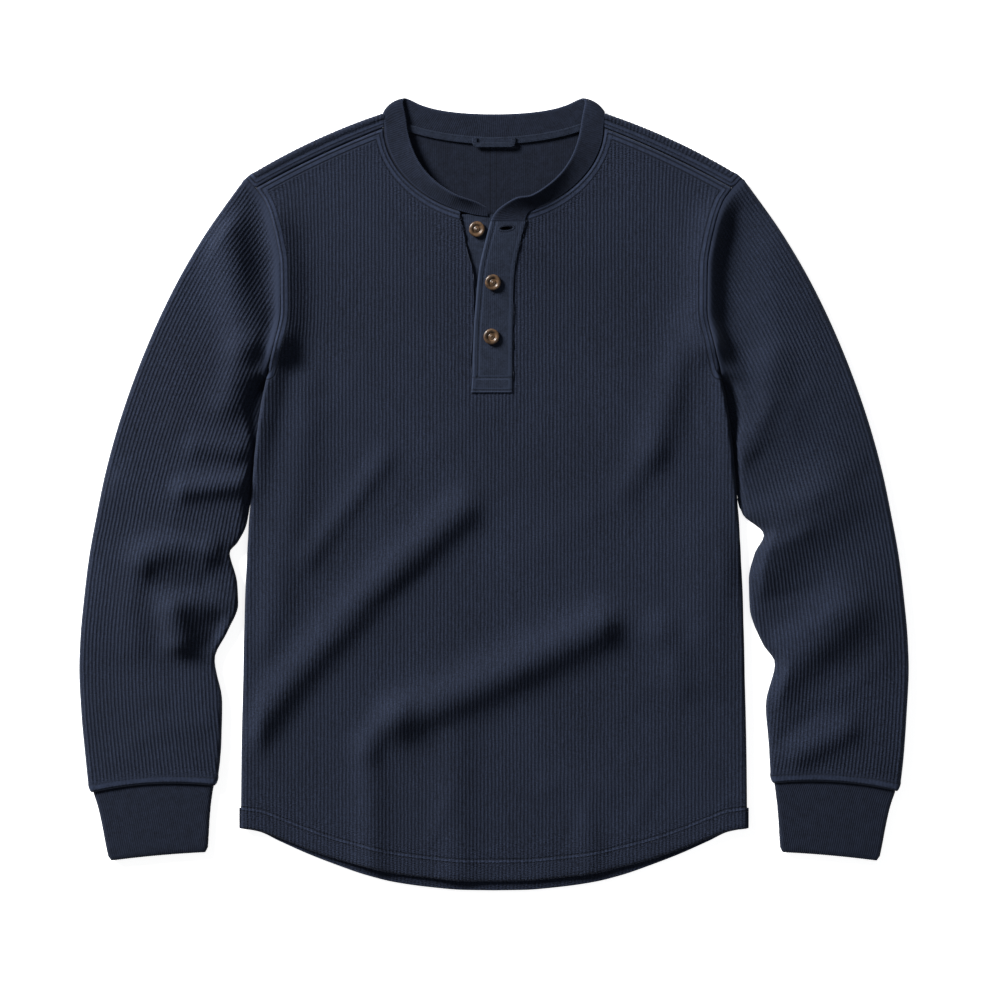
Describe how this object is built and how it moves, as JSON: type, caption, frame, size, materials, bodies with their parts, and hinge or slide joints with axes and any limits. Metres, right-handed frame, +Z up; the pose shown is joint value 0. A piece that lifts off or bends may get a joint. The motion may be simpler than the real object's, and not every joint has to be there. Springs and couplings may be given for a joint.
{
  "type": "thermal top",
  "caption": "Waffle-knit henley top laid flat on its back, with long cuffed sleeves, a ribbed neckband, a buttoned placket and curved hems.",
  "frame": {"origin": "on the surface that the garment lies on, at the middle of its width and length", "axes": "+X towards the wearer's left sleeve, +Y from hem to collar, +Z up from the surface, out of the front"},
  "size_m": [0.7617, 0.729, 0.0206],
  "materials": {
    "knit": "matte",
    "rib": "matte",
    "button": "satin"
  },
  "bodies": {
    "root": {"front": "knit", "back": "knit", "sleeve_right": "knit", "sleeve_left": "knit", "cuff_right": "rib", "cuff_left": "rib", "neckband": "rib", "placket_over": "rib", "placket_under": "rib", "neck_tape": "rib", "neck_loop": "rib", "button_top": "button", "button_middle": "button", "button_low": "button"}
  },
  "joints": []
}
